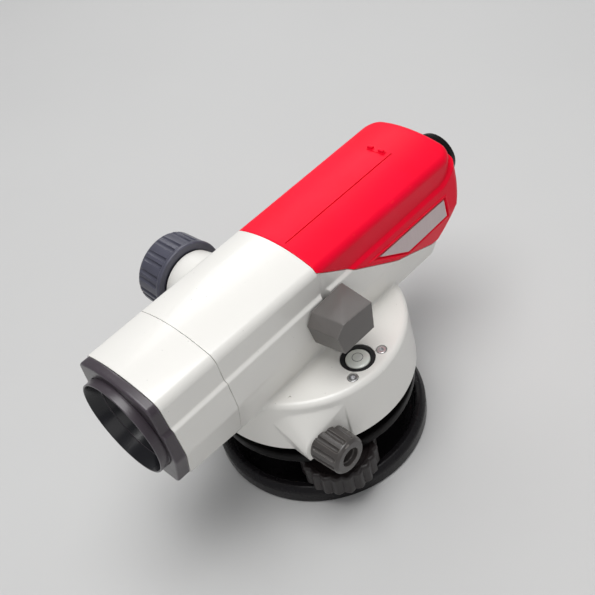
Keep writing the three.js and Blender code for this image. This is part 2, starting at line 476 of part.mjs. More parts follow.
// -------------------------------------------------------------- compensator
const PIVOT_Z = 123.6, COMP_Y = 46;
{
  let frame = box(-18.8, 18.8, COMP_Y - 17, COMP_Y + 17, 81.4, 84.6);
  for (const s of [-1, 1]) frame = frame.add(box(s > 0 ? 16.5 : -19, s > 0 ? 19 : -16.5, COMP_Y - 14, COMP_Y + 14, 84, 128));
  frame = frame.add(box(-19, 19, COMP_Y - 5, COMP_Y + 5, 125.2, 128));
  add(alidade, 'compensator_frame', frame, M.alloy);
  add(alidade, 'damper_cup', ring('z', 6.4, 5, 84.9, 90.2, [0, COMP_Y, 0], 24), M.brass);
  for (const [side, s] of [['right', 1], ['left', -1]]) {
    add(alidade, 'suspension_ribbon_' + side, box(s * 9 - 1.6, s * 9 + 1.6, COMP_Y - 0.15, COMP_Y + 0.15, 121.6, 124.9), M.steel);
  }
  const roof = (y0, y1) => prismX([[y0, 97.5], [y1, 97.5], [y1, 112], [(y0 + y1) / 2, 116], [y0, 112]], -8, 8);
  add(alidade, 'roof_prism', roof(COMP_Y - 16, COMP_Y - 9), M.glass);
  add(alidade, 'roof_prism_seat', box(-12, 12, COMP_Y - 16.5, COMP_Y - 8.5, 84.9, 97.2), M.alloy);

  const pendulum = body('compensator_pendulum');
  let p = box(-13, 13, COMP_Y - 4, COMP_Y + 4, 118.6, 121.3);
  for (const s of [-1, 1]) p = p.add(box(s > 0 ? 11 : -13, s > 0 ? 13 : -11, COMP_Y - 4, COMP_Y + 4, 94, 119));
  p = p.add(box(-13, 13, COMP_Y - 7, COMP_Y + 7, 92, 95)).add(rod('z', 4.2, 87, 93, [0, COMP_Y, 0], 20));
  add(pendulum, 'compensator_pendulum', p, M.alloy);
  add(pendulum, 'pendulum_prism', prismX([[COMP_Y - 6, 95.3], [COMP_Y + 6, 95.3], [COMP_Y + 6, 109], [COMP_Y - 6, 114]], -9.5, 9.5), M.glass);
}

// ------------------------------------------------------ reticle and eyepiece
{
  add(alidade, 'reticle_ring', lathe('y', [[7.8, 72], [14, 72], [14, 76], [7.8, 76], [7.8, 72]], 28, [0, 0, AXIS_Z]), M.brass);
  add(alidade, 'reticle_glass', rod('y', 7.5, 73, 75, [0, 0, AXIS_Z], 24), M.glass);
  add(alidade, 'eyepiece_mount', lathe('y', [[10.2, 84], [13, 84], [13, 104.5], [16.4, 104.5], [16.4, 106.6], [12.6, 106.6], [12.6, 110], [10.2, 110], [10.2, 84]], 36, [0, 0, AXIS_Z]), M.black);
  const er = body('eyepiece_ring');
  add(er, 'eyepiece_ring', lathe('y', [[12.9, 107], [15.2, 107], [15.4, 108], [15.0, 114], [12.6, 120.6], [11.6, 121.8], [9.4, 121.8], [8.6, 120.4], [10.2, 117.2], [10.2, 110.4], [12.9, 110.4], [12.9, 107]], 40, [0, 0, AXIS_Z]), M.circle);
  const ec = body('eyepiece_cell');
  add(ec, 'eyepiece_cell', lathe('y', [[7.8, 88], [9.9, 88], [9.9, 115.4], [7.8, 115.4], [7.8, 88]], 32, [0, 0, AXIS_Z]), M.black);
  add(ec, 'eyepiece_lens', lathe('y', [[0, 107.4], [7.5, 108], [7.5, 112], [0, 114]], 28, [0, 0, AXIS_Z]), M.glass);
}

root.position.y = -Y_CENTRE;
root.updateMatrixWorld(true);

export default root;
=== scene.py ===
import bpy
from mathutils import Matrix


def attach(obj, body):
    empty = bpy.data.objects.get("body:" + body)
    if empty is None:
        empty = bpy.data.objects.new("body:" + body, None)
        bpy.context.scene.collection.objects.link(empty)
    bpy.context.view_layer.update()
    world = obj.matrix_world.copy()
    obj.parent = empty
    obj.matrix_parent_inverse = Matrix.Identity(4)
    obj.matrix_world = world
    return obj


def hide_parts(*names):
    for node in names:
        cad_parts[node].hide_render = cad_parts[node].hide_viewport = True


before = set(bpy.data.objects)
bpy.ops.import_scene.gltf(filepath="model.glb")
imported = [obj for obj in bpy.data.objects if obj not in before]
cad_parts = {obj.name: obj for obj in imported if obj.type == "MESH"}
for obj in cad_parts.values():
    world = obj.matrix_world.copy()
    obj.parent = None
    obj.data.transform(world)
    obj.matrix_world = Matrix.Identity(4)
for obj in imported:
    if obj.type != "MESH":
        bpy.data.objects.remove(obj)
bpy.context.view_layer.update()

import math
import bpy
import numpy as np
from mathutils import Matrix, Vector

YC = 5.4            # mm; the turning axis stands this far towards -Y of the row's origin
MM = 0.001

# =====================================================================
# Mesh making: distance fields in millimetres, turned into quads by dual
# contouring, and turned pieces made from profiles. All coordinates have
# the turning axis at x = y = 0; they are moved by -YC when a mesh is made.
# =====================================================================


def smax(a, b, r):
    """Intersection of two fields with a round edge of radius r."""
    if r <= 0:
        return np.maximum(a, b)
    u = np.maximum(r + a, 0.0)
    v = np.maximum(r + b, 0.0)
    return np.minimum(-r, np.maximum(a, b)) + np.sqrt(u * u + v * v)


def smin(a, b, r):
    """Union of two fields with a fillet of radius r."""
    return -smax(-a, -b, r)


def cut(a, b, r=0.0):
    return smax(a, -b, r)


def contour(f, lo, hi, h):
    """Quads on f = 0. Each cell's vertex is where the surface's tangent planes meet, so edges stay crisp."""
    lo = np.array(lo, float)
    n = np.ceil((np.array(hi, float) - lo) / h).astype(int) + 1
    K = 8
    n = (np.ceil(n / K) * K).astype(int)
    nb = n // K
    c = [lo[i] + h * (K * np.arange(nb[i]) + (K - 1) / 2) for i in range(3)]
    C = f(*np.meshgrid(*c, indexing="ij"))
    V = np.repeat(np.repeat(np.repeat(C, K, 0), K, 1), K, 2)
    # only blocks that the surface may pass through are filled in
    near = np.argwhere(np.abs(C) < h * K * 1.35)
    g = np.stack(np.meshgrid(*[np.arange(K)] * 3, indexing="ij"), -1).reshape(-1, 3)
    for part in np.array_split(near, max(1, len(near) // 1200)):
        ix = (part[:, None, :] * K + g[None]).reshape(-1, 3)
        V[tuple(ix.T)] = f(lo[0] + h * ix[:, 0], lo[1] + h * ix[:, 1], lo[2] + h * ix[:, 2])
    V[V == 0] = 1e-9
    inside = V < 0
    cy, cz = n[1] - 1, n[2] - 1
    P, Q = [], []
    for a in range(3):
        s0 = [slice(None)] * 3
        s1 = [slice(None)] * 3
        s0[a], s1[a] = slice(0, -1), slice(1, None)
        I = np.argwhere(inside[tuple(s0)] != inside[tuple(s1)])
        b, c = (a + 1) % 3, (a + 2) % 3
        I = I[(I[:, b] > 0) & (I[:, b] < n[b] - 1) & (I[:, c] > 0) & (I[:, c] < n[c] - 1)]
        J = I.copy()
        J[:, a] += 1
        v0, v1 = V[tuple(I.T)].copy(), V[tuple(J.T)].copy()
        flip = v0 > 0
        t0, t1 = np.zeros(len(I)), np.ones(len(I))
        base = lo + h * I
        t = v0 / (v0 - v1)
        for _ in range(3):
            p = base.copy()
            p[:, a] += h * t
            v = f(p[:, 0], p[:, 1], p[:, 2])
            same = (v > 0) == (v0 > 0)
            t0, v0 = np.where(same, t, t0), np.where(same, v, v0)
            t1, v1 = np.where(same, t1, t), np.where(same, v1, v)
            t = np.clip(t0 + (t1 - t0) * v0 / (v0 - v1 + 1e-12), 0, 1)
        p = base
        p[:, a] += h * t
        q = []
        for db, dc in ((-1, -1), (0, -1), (0, 0), (-1, 0)):
            K = I.copy()
            K[:, b] += db
            K[:, c] += dc
            q.append((K[:, 0] * cy + K[:, 1]) * cz + K[:, 2])
        q = np.stack(q, 1)
        q[flip] = q[flip][:, ::-1]
        P.append(p)
        Q.append(q)
    P, Q = np.concatenate(P), np.concatenate(Q)
    e = 0.02
    N = np.stack([f(P[:, 0] + e * (k == 0), P[:, 1] + e * (k == 1), P[:, 2] + e * (k == 2))
                  - f(P[:, 0] - e * (k == 0), P[:, 1] - e * (k == 1), P[:, 2] - e * (k == 2)) for k in range(3)], 1)
    N /= np.linalg.norm(N, axis=1, keepdims=True) + 1e-12
    ids, inv = np.unique(Q.reshape(-1), return_inverse=True)
    inv = inv.reshape(-1)
    pp, nn = np.repeat(P, 4, 0), np.repeat(N, 4, 0)
    cnt = np.bincount(inv).astype(float)
    acc = lambda w: np.bincount(inv, weights=w)
    mass = np.stack([acc(pp[:, k]) for k in range(3)], 1) / cnt[:, None]
    d = (nn * (pp - mass[inv])).sum(1)
    A = np.zeros((len(ids), 3, 3))
    B = np.zeros((len(ids), 3))
    for i in range(3):
        B[:, i] = acc(nn[:, i] * d)
        for j in range(i, 3):
            A[:, i, j] = A[:, j, i] = acc(nn[:, i] * nn[:, j])
    A += np.eye(3) * 0.04
    x = mass + np.linalg.solve(A, B[:, :, None])[:, :, 0]
    ci = np.stack([ids // (cy * cz), (ids // cz) % cy, ids % cz], 1)
    c0 = lo + h * ci
    x = np.clip(x, c0 + 0.02 * h, c0 + 0.98 * h)
    return x, inv.reshape(-1, 4)


def object_of(name, verts, faces, sharp=38.0):
    """A Blender object from vertices in mm and faces, smooth apart from edges sharper than `sharp` degrees."""
    v = np.array(verts, float)
    v = np.stack([v[:, 0], v[:, 1] - YC, v[:, 2]], 1) * MM
    me = bpy.data.meshes.new(name)
    if isinstance(faces, np.ndarray):
        m, k = faces.shape
        me.vertices.add(len(v))
        me.vertices.foreach_set("co", v.astype(np.float32).ravel())
        me.loops.add(m * k)
        me.loops.foreach_set("vertex_index", faces.astype(np.int32).ravel())
        me.polygons.add(m)
        me.polygons.foreach_set("loop_start", np.arange(0, m * k, k, dtype=np.int32))
        me.update(calc_edges=True)
    else:
        me.from_pydata(v.tolist(), [], faces)
    me.validate()
    me.polygons.foreach_set("use_smooth", np.ones(len(me.polygons), bool))
    me.set_sharp_from_angle(angle=math.radians(sharp))
    me.update()
    o = bpy.data.objects.new(name, me)
    bpy.context.scene.collection.objects.link(o)
    return o


def field(name, f, lo, hi, h, sharp=38.0):
    v, q = contour(f, lo, hi, h * (1.0))
    return object_of(name, v, q, sharp)


def turned(name, axis, profile, segments=96, at=(0, 0, 0), sharp=30.0):
    """A turned piece: a closed profile of (radius, height), about an axis through `at`. Radius 0 closes it on the axis."""
    prof = list(profile)
    if prof[0] == prof[-1]:
        prof = prof[:-1]
    V, F, rows = [], [], []
    for r, hh in prof:
        if r <= 1e-9:
            V.append((0.0, 0.0, hh))
            rows.append([len(V) - 1] * segments)
        else:
            row = []
            for i in range(segments):
                a = 2 * math.pi * i / segments
                V.append((r * math.cos(a), r * math.sin(a), hh))
                row.append(len(V) - 1)
            rows.append(row)
    m = len(rows)
    area = sum(prof[i][0] * prof[(i + 1) % m][1] - prof[(i + 1) % m][0] * prof[i][1] for i in range(m))
    for k in range(m):
        A, B = rows[k], rows[(k + 1) % m]
        if prof[k][0] <= 1e-9 and prof[(k + 1) % m][0] <= 1e-9:
            continue
        for i in range(segments):
            j = (i + 1) % segments
            f = []
            for x in (A[i], A[j], B[j], B[i]):
                if x not in f:
                    f.append(x)
            F.append(f if area > 0 else f[::-1])
    V = np.array(V)
    if axis == "z":
        W = V
    elif axis == "x":
        W = np.stack([V[:, 2], V[:, 0], V[:, 1]], 1)
    else:
        W = np.stack([V[:, 1], V[:, 2], V[:, 0]], 1)
    return object_of(name, W + np.array(at, float), F, sharp)


def rounded(points, r, steps=4):
    """A closed profile with each corner rounded by r, or by its own third number."""
    out, n = [], len(points)
    for i in range(n):
        p0, p1, p2 = (np.array(points[(i + k) % n][:2], float) for k in (-1, 0, 1))
        rr = points[i][2] if len(points[i]) > 2 else r
        a, b = p0 - p1, p2 - p1
        la, lb = np.linalg.norm(a), np.linalg.norm(b)
        if rr <= 0 or la < 1e-6 or lb < 1e-6 or p1[0] < 1e-9:
            out.append(tuple(p1))
            continue
        a, b = a / la, b / lb
        cosv = float(np.clip(a @ b, -0.9999, 0.9999))
        half = math.acos(cosv) / 2
        t = min(rr / math.tan(half), 0.48 * la, 0.48 * lb)
        s, e = p1 + a * t, p1 + b * t
        for k in range(steps + 1):
            u = k / steps
            out.append(tuple((1 - u) ** 2 * s + 2 * u * (1 - u) * p1 + u * u * e))
    return out


# =====================================================================
# Materials: every one is procedural
# =====================================================================
LINK = {}


def material(name, base, rough=0.4, metal=0.0, var=0.05, var_scale=45, rough_var=0.06, bump=0.03, bump_scale=1400, coat=0.0,
             coat_rough=0.1, spec=0.5, tint=None, edge_rub_and_highlight=0.0, edge_rub_and_highlight_color=(0.6, 0.6, 0.6), specks=0.0, ior=1.45, streak=None):
    m = bpy.data.materials.new(name)
    m.use_nodes = True
    nt = m.node_tree
    nt.nodes.clear()
    N = lambda t, **k: _node(nt, t, **k)
    out = N("ShaderNodeOutputMaterial")
    bsdf = N("ShaderNodeBsdfPrincipled")
    nt.links.new(bsdf.outputs[0], out.inputs[0])
    bsdf.inputs["Metallic"].default_value = metal
    bsdf.inputs["Coat Weight"].default_value = coat
    bsdf.inputs["Coat Roughness"].default_value = coat_rough
    bsdf.inputs["Specular IOR Level"].default_value = spec
    bsdf.inputs["IOR"].default_value = ior
    tc = N("ShaderNodeTexCoord")
    mapping = N("ShaderNodeMapping")
    nt.links.new(tc.outputs["Object"], mapping.inputs[0])
    if streak:
        mapping.inputs["Scale"].default_value = streak
    src = mapping.outputs[0]
    n1 = N("ShaderNodeTexNoise")
    n1.inputs["Scale"].default_value = var_scale
    n1.inputs["Detail"].default_value = 5
    n1.inputs["Roughness"].default_value = 0.55
    nt.links.new(src, n1.inputs["Vector"])
    ramp = N("ShaderNodeValToRGB")
    lowc = [c * (1 - var) for c in base]
    highc = [min(1, c * (1 + var)) for c in base]
    if tint:
        highc = [min(1, h * t) for h, t in zip(highc, tint)]
    ramp.color_ramp.elements[0].position = 0.3
    ramp.color_ramp.elements[1].position = 0.7
    ramp.color_ramp.elements[0].color = (*lowc, 1)
    ramp.color_ramp.elements[1].color = (*highc, 1)
    nt.links.new(n1.outputs["Fac"], ramp.inputs[0])
    color = ramp.outputs[0]
    if specks > 0:
        vor = N("ShaderNodeTexVoronoi")
        vor.inputs["Scale"].default_value = 170
        nt.links.new(src, vor.inputs["Vector"])
        lt = N("ShaderNodeMath", operation="LESS_THAN")
        lt.inputs[1].default_value = 0.045
        nt.links.new(vor.outputs["Distance"], lt.inputs[0])
        am = N("ShaderNodeMath", operation="MULTIPLY")
        am.inputs[1].default_value = specks
        nt.links.new(lt.outputs[0], am.inputs[0])
        mx = N("ShaderNodeMix", data_type="RGBA")
        mx.inputs["B"].default_value = (*[c * 0.35 for c in base], 1)
        nt.links.new(am.outputs[0], mx.inputs["Factor"])
        nt.links.new(color, mx.inputs["A"])
        color = mx.outputs["Result"]
    # Edge mask from pointiness times fine noise: a lighter colour along convex edges, partly rubbed-edge wear and
    # partly a painted highlight on the edges.
    if edge_rub_and_highlight > 0:
        geo = N("ShaderNodeNewGeometry")
        n3 = N("ShaderNodeTexNoise")
        n3.inputs["Scale"].default_value = 260
        nt.links.new(src, n3.inputs["Vector"])
        mr = N("ShaderNodeMapRange")
        mr.inputs["From Min"].default_value = 0.515
        mr.inputs["From Max"].default_value = 0.58
        nt.links.new(geo.outputs["Pointiness"], mr.inputs["Value"])
        ml = N("ShaderNodeMath", operation="MULTIPLY")
        nt.links.new(mr.outputs[0], ml.inputs[0])
        nt.links.new(n3.outputs["Fac"], ml.inputs[1])
        m2 = N("ShaderNodeMath", operation="MULTIPLY")
        m2.inputs[1].default_value = edge_rub_and_highlight
        nt.links.new(ml.outputs[0], m2.inputs[0])
        mx = N("ShaderNodeMix", data_type="RGBA")
        mx.inputs["B"].default_value = (*edge_rub_and_highlight_color, 1)
        nt.links.new(m2.outputs[0], mx.inputs["Factor"])
        nt.links.new(color, mx.inputs["A"])
        color = mx.outputs["Result"]
    nt.links.new(color, bsdf.inputs["Base Color"])
    n2 = N("ShaderNodeTexNoise")
    n2.inputs["Scale"].default_value = var_scale * 2.7
    n2.inputs["Detail"].default_value = 3
    nt.links.new(src, n2.inputs["Vector"])
    mr = N("ShaderNodeMapRange")
    mr.inputs["To Min"].default_value = max(0.02, rough - rough_var)
    mr.inputs["To Max"].default_value = min(1, rough + rough_var)
    nt.links.new(n2.outputs["Fac"], mr.inputs["Value"])
    nt.links.new(mr.outputs[0], bsdf.inputs["Roughness"])
    if bump > 0:
        nb = N("ShaderNodeTexNoise")
        nb.inputs["Scale"].default_value = bump_scale
        nb.inputs["Detail"].default_value = 2
        nt.links.new(src, nb.inputs["Vector"])
        bp = N("ShaderNodeBump")
        bp.inputs["Strength"].default_value = bump
        bp.inputs["Distance"].default_value = 0.0003
        nt.links.new(nb.outputs["Fac"], bp.inputs["Height"])
        nt.links.new(bp.outputs[0], bsdf.inputs["Normal"])
    LINK[name] = (nt, bsdf, src)
    return m


def _node(nt, kind, **props):
    n = nt.nodes.new(kind)
    for k, v in props.items():
        setattr(n, k, v)
    return n


WHITE = material("white_enamel", (0.80, 0.785, 0.745), 0.30, var=0.012, var_scale=18, rough_var=0.04, bump=0.05, bump_scale=1900, coat=0.25, coat_rough=0.08, specks=0.35)
RED = material("red_moulding", (0.90, 0.002, 0.026), 0.42, var=0.03, var_scale=30, rough_var=0.05, bump=0.08, bump_scale=3200, spec=0.24, tint=(1.0, 1.4, 1.2), edge_rub_and_highlight=0.25, edge_rub_and_highlight_color=(1.0, 0.05, 0.04))
RED.node_tree.nodes["Principled BSDF"].inputs["Specular Tint"].default_value = (1.0, 0.35, 0.42, 1)
BASE = material("black_enamel", (0.009, 0.008, 0.009), 0.27, var=0.25, var_scale=40, rough_var=0.08, bump=0.08, bump_scale=2200, spec=0.3, edge_rub_and_highlight=0.25, edge_rub_and_highlight_color=(0.10, 0.095, 0.09))
MATT = material("matt_black", (0.010, 0.010, 0.011), 0.55, var=0.3, var_scale=60, bump=0.12, bump_scale=2600)
# Inside surfaces: black finish, darkened further as painted shade for bores the light does not reach.
INNER = material("inner_black_and_painted_shade", (0.008, 0.0078, 0.011), 0.22, var=0.2, var_scale=60, bump=0.06, bump_scale=2200)
FOOT = material("foot_moulding", (0.015, 0.011, 0.011), 0.36, var=0.25, var_scale=60, bump=0.15, bump_scale=2600, edge_rub_and_highlight=0.5, edge_rub_and_highlight_color=(0.09, 0.075, 0.07))
STEEL = material("turned_steel", (0.78, 0.78, 0.79), 0.30, metal=1.0, var=0.08, var_scale=120, bump=0.05, bump_scale=2500)
BRASS = material("turned_brass", (0.62, 0.44, 0.20), 0.30, metal=1.0, var=0.10, var_scale=120, bump=0.05, bump_scale=2500)
ALLOY = material("machined_alloy", (0.30, 0.31, 0.32), 0.42, metal=0.9, var=0.10, var_scale=90, bump=0.08, bump_scale=2300)
BEZEL = material("plum_grey_moulding", (0.043, 0.033, 0.041), 0.32, coat=0.25, coat_rough=0.22, var=0.12, var_scale=50, bump=0.12, bump_scale=3000, edge_rub_and_highlight=0.5, edge_rub_and_highlight_color=(0.25, 0.22, 0.27))
KNOB = material("slate_moulding", (0.060, 0.060, 0.084), 0.36, coat=0.2, coat_rough=0.25, var=0.10, var_scale=60, bump=0.12, bump_scale=3000, edge_rub_and_highlight=0.5, edge_rub_and_highlight_color=(0.20, 0.20, 0.27))
# The tangent knob's light edge colour is mostly a painted highlight on the slot rims, with some rubbed-edge wear.
TANGENT = material("warm_grey_moulding", (0.056, 0.050, 0.047), 0.30, coat=0.35, coat_rough=0.2, var=0.10, var_scale=60, bump=0.10, bump_scale=3000, edge_rub_and_highlight=0.8, edge_rub_and_highlight_color=(0.42, 0.39, 0.36))
# The prism case's light edge colour is partly a painted highlight along its edges and partly rubbed-edge wear.
GREY = material("mid_grey_moulding", (0.125, 0.116, 0.110), 0.34, coat=0.0, coat_rough=0.2, var=0.05, var_scale=50, bump=0.10, bump_scale=3000, edge_rub_and_highlight=0.5, edge_rub_and_highlight_color=(0.45, 0.42, 0.40))
# Blank plate: pale metal tone with a pink tint that is a painted reflection of red surroundings.
PLATE = material("blank_plate_pink_reflection", (0.60, 0.50, 0.50), 0.34, metal=0.35, var=0.03, var_scale=80, bump=0.05, bump_scale=2600, streak=(1, 12, 1))
# Tribrach and circle: black finish, deepened further as painted shade under the head.
TRIBRACH = material("tribrach_black_and_painted_shade", (0.005, 0.0045, 0.0045), 0.34, var=0.25, var_scale=40, rough_var=0.08, bump=0.08, bump_scale=2200, spec=0.10, edge_rub_and_highlight=0.12, edge_rub_and_highlight_color=(0.06, 0.055, 0.05))
CIRCLE = material("circle_black", (0.0045, 0.004, 0.004), 0.34, var=0.2, var_scale=60, bump=0.08, bump_scale=2400, spec=0.08)


def glass(name, color, rough=0.02, ior=1.52, alpha_mix=0.0, coat=(0.25, 0.30, 0.55)):
    m = material(name, color, rough + 0.01, var=0.03, var_scale=30, rough_var=0.01, bump=0.0, ior=ior)
    nt, bsdf, src = LINK[name]
    bsdf.inputs["Transmission Weight"].default_value = 1.0 - alpha_mix
    return m


LENS = glass("coated_glass", (0.80, 0.86, 0.95))
BUBBLE = material("vial_bubble_clear", (0.92, 0.94, 0.88), 0.08, var=0.02, var_scale=60, rough_var=0.02, bump=0.0, coat=1.0, coat_rough=0.02)
VIAL_MARK = material("vial_mark", (0.16, 0.16, 0.15), 0.4, var=0.05, var_scale=60, bump=0.0)
# Vial fill: its own pale white-green, brightened as painted light to offset the shade in its well.
FLUID = material("vial_fluid", (0.92, 0.95, 0.87), 0.12, var=0.04, var_scale=60, rough_var=0.03, bump=0.0, coat=1.0, coat_rough=0.02)


def put(o, mat, body, node=None):
    o.data.materials.clear()
    o.data.materials.append(mat)
    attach(o, body)
    if node:
        for k in ([node] if isinstance(node, str) else node):
            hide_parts(k)
    return o


# =====================================================================
# Telescope body
# =====================================================================
AXIS_Z, FRONT_Y, SEAM_Y, RAKE, TOP_Z = 106.2, -101.4, -68.9, 0.05, 131.4


def line_field(ax, Z, x1, z1, x2, z2):
    """Distance outside the line from an upper point to a lower one; outside is towards +x."""
    dx, dz = x2 - x1, z2 - z1
    L = np.sqrt(dx * dx + dz * dz)
    return (ax - x1) * (-dz / L) + (Z - z1) * (dx / L)


def ridge_z(Y):
    return 115.6 + 0.055 * np.maximum(Y - 88, 0) ** 2 * (Y < 130)


def smooth_table(pts, rounds=3):
    """A table of (z, y) points rounded off by cutting its corners."""
    p = np.array(pts, float)
    for _ in range(rounds):
        q = np.empty((2 * len(p) - 2 + 2, 2))
        q[0], q[-1] = p[0], p[-1]
        q[1:-1:2] = 0.75 * p[:-1] + 0.25 * p[1:]
        q[2:-1:2] = 0.25 * p[:-1] + 0.75 * p[1:]
        p = q
    return p


REAR = smooth_table([(40, 73.8), (76, 88.5), (80.6, 90.2), (87, 97.0), (97, 102.6), (108, 104.2), (120, 103.6), (133, 101.8), (141, 100.0), (170, 94)])


def telescope(X, Y, Z):
    ax = np.abs(X)
    t = np.clip((Y - FRONT_Y) / 205, 0, 1)
    tx = 25.8 + 2.6 * t
    zb = np.where(Y < -52, 76.2 - 0.0749 * (Y - FRONT_Y), 72.5 - 0.0179 * (Y + 52))
    rz = ridge_z(Y)
    crown = np.sqrt(X * X + (Z - (136.4 - 70)) ** 2) - 70
    # rear end: upright face that leans in at the bottom
    back = (Y - np.interp(Z, REAR[:, 0], REAR[:, 1])) * np.where(Z < 97, 0.87, 0.99)
    side = line_field(ax, Z, tx, TOP_Z, 26.75, rz + 0.9)
    upper = np.maximum(smax(smax(side, back, 9.5), crown, 3.2), rz - 1.2 - Z)
    ledge = line_field(ax, Z, 26.7, rz + 0.9, 28.45, rz - 0.6)
    mid = line_field(ax, Z, 28.45, 115, 29.1, 97.4)
    low = line_field(ax, Z, 29.1, 97.4, 22.5, zb)
    lower = smax(smax(ledge, mid, 0.45), low, 0.5)
    lower = smax(smax(lower, back, 5.5), zb - Z, 3.0)
    lower = np.maximum(lower, Z - rz - 1.2)
    return smin(upper, lower, 0.4)


def raked(Y, Z, y0):
    """Positive in front of the plane through y0 at the top, leaning back below."""
    return ((y0 + RAKE * (TOP_Z - Z)) - Y) * 0.9988


COVER_Y = [-60, -3.6, 20, 50, 57.5, 80.5, 93, 130]
COVER_Z = [166, 129.4, 113.6, 96, 92.7, 81.4, 79.8, 79.4]


def cover_region(Y, Z):
    """Negative where the red cover is."""
    L = np.interp(Y, COVER_Y, COVER_Z)
    return smax((L - Z) * 0.86, -3.6 - Y, 0.4)


def tunnel(X, Y, Z, inset=2.7):
    f = telescope(X, Y, Z) + inset
    return np.maximum(f, 81.2 - Z)


def hull_planes(points):
    import bmesh
    bm = bmesh.new()
    for p in points:
        bm.verts.new(p)
    bmesh.ops.convex_hull(bm, input=bm.verts)
    planes = []
    bm.normal_update()
    for fce in bm.faces:
        n, c = fce.normal, fce.calc_center_median()
        if fce.calc_area() < 1e-5:
            continue
        key = (round(n.x, 3), round(n.y, 3), round(n.z, 3), round(n.dot(c), 2))
        if key not in [k[0] for k in planes]:
            planes.append((key, (n.x, n.y, n.z, n.dot(c))))
    cen = sum((v.co for v in bm.verts), Vector()) / len(bm.verts)
    out = []
    for _, (a, b, c, d) in planes:
        if a * cen.x + b * cen.y + c * cen.z - d > 0:
            a, b, c, d = -a, -b, -c, -d
        out.append((a, b, c, d))
    bm.free()
    return out


def hull_field(planes, X, Y, Z, r):
    f = None
    for a, b, c, d in planes:
        g = a * X + b * Y + c * Z - d
        f = g if f is None else smax(f, g, r)
    return f


TAN_Y, TAN_Z = -36.6, 51.1
FOC_Y, FOC_Z = -28.9, 109.5
VX, VY = 41.8, -1.9
SCREW_A = {"rear": 60, "inner": 180, "front": 300}




def along(pts, n):
    """Points spread along a smooth curve through pts."""
    p = np.array(pts, float)
    p = np.vstack([2 * p[0] - p[1], p, 2 * p[-1] - p[-2]])
    out = []
    for k in range(n):
        u = k / (n - 1) * (len(p) - 3)
        i = min(int(u), len(p) - 4)
        t = u - i
        a, b, c, d = p[i:i + 4]
        out.append(tuple(0.5 * (2 * b + (c - a) * t + (2 * a - 5 * b + 4 * c - d) * t * t + (3 * b - a - 3 * c + d) * t ** 3)))
    return out


def on_wall(p):
    """The same point moved out to the round wall."""
    r = 58.1 - (p[2] - 46) * 0.0625
    k = r / math.hypot(p[0], p[1])
    return (p[0] * k, p[1] * k, p[2])


BOSS_POINTS = [(44.9, TAN_Y + 12.2 * math.cos(k * math.pi / 40), TAN_Z + 12.2 * math.sin(k * math.pi / 40)) for k in range(80)]
BOSS_POINTS += [on_wall(p) for p in along([(26.2, -50.3, 64.6), (32.2, -46.3, 70.4), (38.1, -41.4, 71.9), (44.4, -34.3, 71.9), (50.8, -24.0, 71.0)], 40)]
BOSS_POINTS += [on_wall(p) for p in along([(26.2, -50.3, 64.6), (30.2, -48.7, 54.5), (33.6, -46.7, 46.0)], 16)]
BOSS_POINTS += [(50.8, -24.0, 46.0), (20, -30, 70), (20, -30, 46), (30, -10, 70), (30, -10, 46)]
BOSS = None


def tangent_boss(X, Y, Z):
    """Boss round the tangent screw: its flat end is a circle, and it spreads back to the head's wall and rim."""
    global BOSS
    if BOSS is None:
        BOSS = hull_planes(BOSS_POINTS)
    ax = np.abs(X)
    f = hull_field(BOSS, ax, Y, Z, 0.0)
    f = smax(f, 46.2 - Z, 0.3)
    return np.maximum(f, Y + 24.3)


def housing(X, Y, Z):
    r = np.sqrt(X * X + Y * Y)
    wall = (r - (58.1 - (Z - 46) * 0.0625)) * 0.998
    head = smax(smax(wall, Z - 78, 3.0), 46 - Z, 0.5)
    tel = smax(telescope(X, Y, Z), raked(Y, Z, SEAM_Y + 0.12), 0.25)
    tel = smax(tel, Y - 88.8, 6)
    f = smin(head, tel, 1.4)
    # pocket for the tangent knob, then the boss beside it
    ax = np.abs(X)
    pocket = np.maximum(np.maximum(45.0 - ax, Y + 24.2), (Z - 64.0 - (ax - 45.0) * 1.15) * 0.65)
    f = cut(f, pocket, 0.5)
    f = smin(f, tangent_boss(X, Y, Z), 0.35)
    # focusing boss on the -X side
    rr = np.sqrt((Y - FOC_Y) ** 2 + (Z - FOC_Z) ** 2)
    fb = smax((rr - (16.5 + (X + 41.4) * 0.17)) * 0.985, -41.6 - X, 0.8)
    fb = np.maximum(fb, X + 20)
    f = smin(f, fb, 2.2)
    # hollow inside
    well = np.maximum((r - (55.1 - (Z - 46) * 0.0625)) * 0.998, Z - 74.4)
    f = cut(f, well)
    post = np.maximum(r - 17, 60.3 - Z)
    f = np.minimum(f, np.maximum(post, Z - 76))
    f = np.maximum(f, -tunnel(X, Y, Z))
    f = np.maximum(f, 0.16 - cover_region(Y, Z))
    # bores
    rt = np.sqrt((Y - TAN_Y) ** 2 + (Z - TAN_Z) ** 2)
    f = np.maximum(f, 4.6 - rt)
    f = np.maximum(f, np.where(X < 0, 6.3 - rr, -5.0))
    # vial well and its screws' countersinks
    rv = np.sqrt((X - VX) ** 2 + (Y - VY) ** 2)
    f = cut(f, np.maximum(rv - 9.0, 69 - Z), 0.35)
    for a in SCREW_A.values():
        sx, sy = VX + 12.6 * math.cos(math.radians(a)), VY + 12.6 * math.sin(math.radians(a))
        rs = np.sqrt((X - sx) ** 2 + (Y - sy) ** 2)
        f = cut(f, np.maximum(rs - 2.9, 75.8 - Z), 0.3)
        f = np.maximum(f, -np.maximum(rs - 1.8, 69 - Z))
    # small dimple in the head's top
    rd = np.sqrt((X - 30.8) ** 2 + (Y + 39.7) ** 2)
    f = cut(f, np.maximum(rd - 0.7, 77.3 - Z), 0.2)
    return f


main = field("main_housing_shell", housing, (-61, -75, 44), (61, 92, 139), 0.55)
put(main, WHITE, "alidade", "main_housing")

